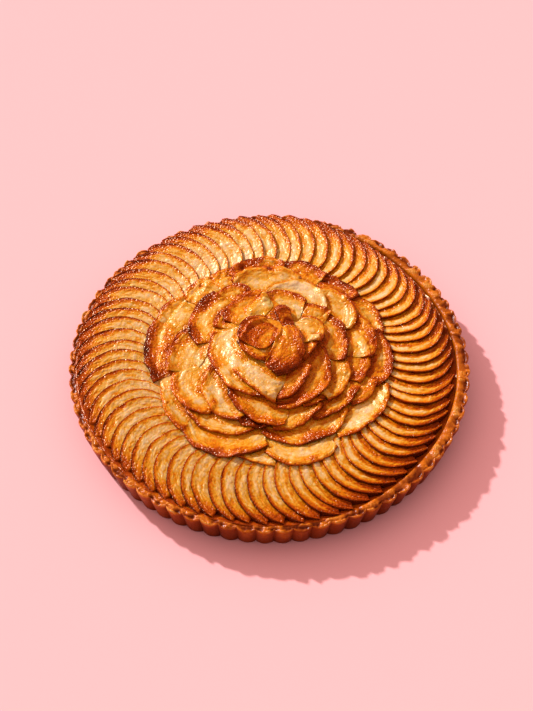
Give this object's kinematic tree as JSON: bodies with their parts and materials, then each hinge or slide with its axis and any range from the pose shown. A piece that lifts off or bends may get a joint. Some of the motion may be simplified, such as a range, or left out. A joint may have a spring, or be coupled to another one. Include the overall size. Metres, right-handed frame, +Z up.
{
  "type": "apple tart",
  "caption": "Open apple tart in a fluted shortcrust case, with a ring of shingled half-moon apple slices and a rose of glazed slices in the middle.",
  "frame": {"origin": "centre of the flat base, on the surface the tart stands on", "axes": "+Z up out of the tart, +X to the right and +Y to the back as it is shown from the front"},
  "size_m": [0.2805, 0.2806, 0.0537],
  "materials": {
    "baked_crust": "matt, fine-grained baked shortcrust",
    "baked_apple": "glossy glaze over pale baked apple with browned edges",
    "glazed_petal": "glossy caramelised glaze over baked apple"
  },
  "bodies": {
    "root": {"apple_ring": "baked_apple", "crust": "baked_crust", "petal_heart_01": "glazed_petal", "petal_heart_02": "glazed_petal", "petal_heart_03": "glazed_petal", "petal_heart_04": "glazed_petal", "petal_heart_05": "glazed_petal", "petal_heart_06": "glazed_petal", "petal_inner_01": "glazed_petal", "petal_inner_02": "glazed_petal", "petal_inner_03": "glazed_petal", "petal_inner_04": "glazed_petal", "petal_outer_01": "glazed_petal", "petal_outer_02": "glazed_petal", "petal_outer_03": "glazed_petal", "petal_outer_04": "glazed_petal", "petal_outer_05": "glazed_petal", "petal_outer_06": "glazed_petal", "petal_outer_07": "glazed_petal", "petal_outer_08": "glazed_petal", "petal_outer_09": "glazed_petal", "petal_outer_10": "glazed_petal", "petal_outer_11": "glazed_petal", "petal_outer_12": "glazed_petal", "petal_outer_13": "glazed_petal", "petal_outer_14": "glazed_petal", "petal_second_01": "glazed_petal", "petal_second_02": "glazed_petal", "petal_second_03": "glazed_petal", "petal_second_04": "glazed_petal", "petal_second_05": "glazed_petal", "petal_second_06": "glazed_petal", "petal_second_07": "glazed_petal", "petal_second_08": "glazed_petal", "petal_second_09": "glazed_petal", "petal_second_10": "glazed_petal", "petal_second_11": "glazed_petal", "petal_second_12": "glazed_petal", "petal_second_13": "glazed_petal", "petal_third_01": "glazed_petal", "petal_third_02": "glazed_petal", "petal_third_03": "glazed_petal", "petal_third_04": "glazed_petal", "petal_third_05": "glazed_petal", "petal_third_06": "glazed_petal", "petal_third_07": "glazed_petal", "petal_third_08": "glazed_petal", "petal_third_09": "glazed_petal", "petal_third_10": "glazed_petal", "petal_third_11": "glazed_petal", "petal_third_12": "glazed_petal"}
  },
  "joints": []
}
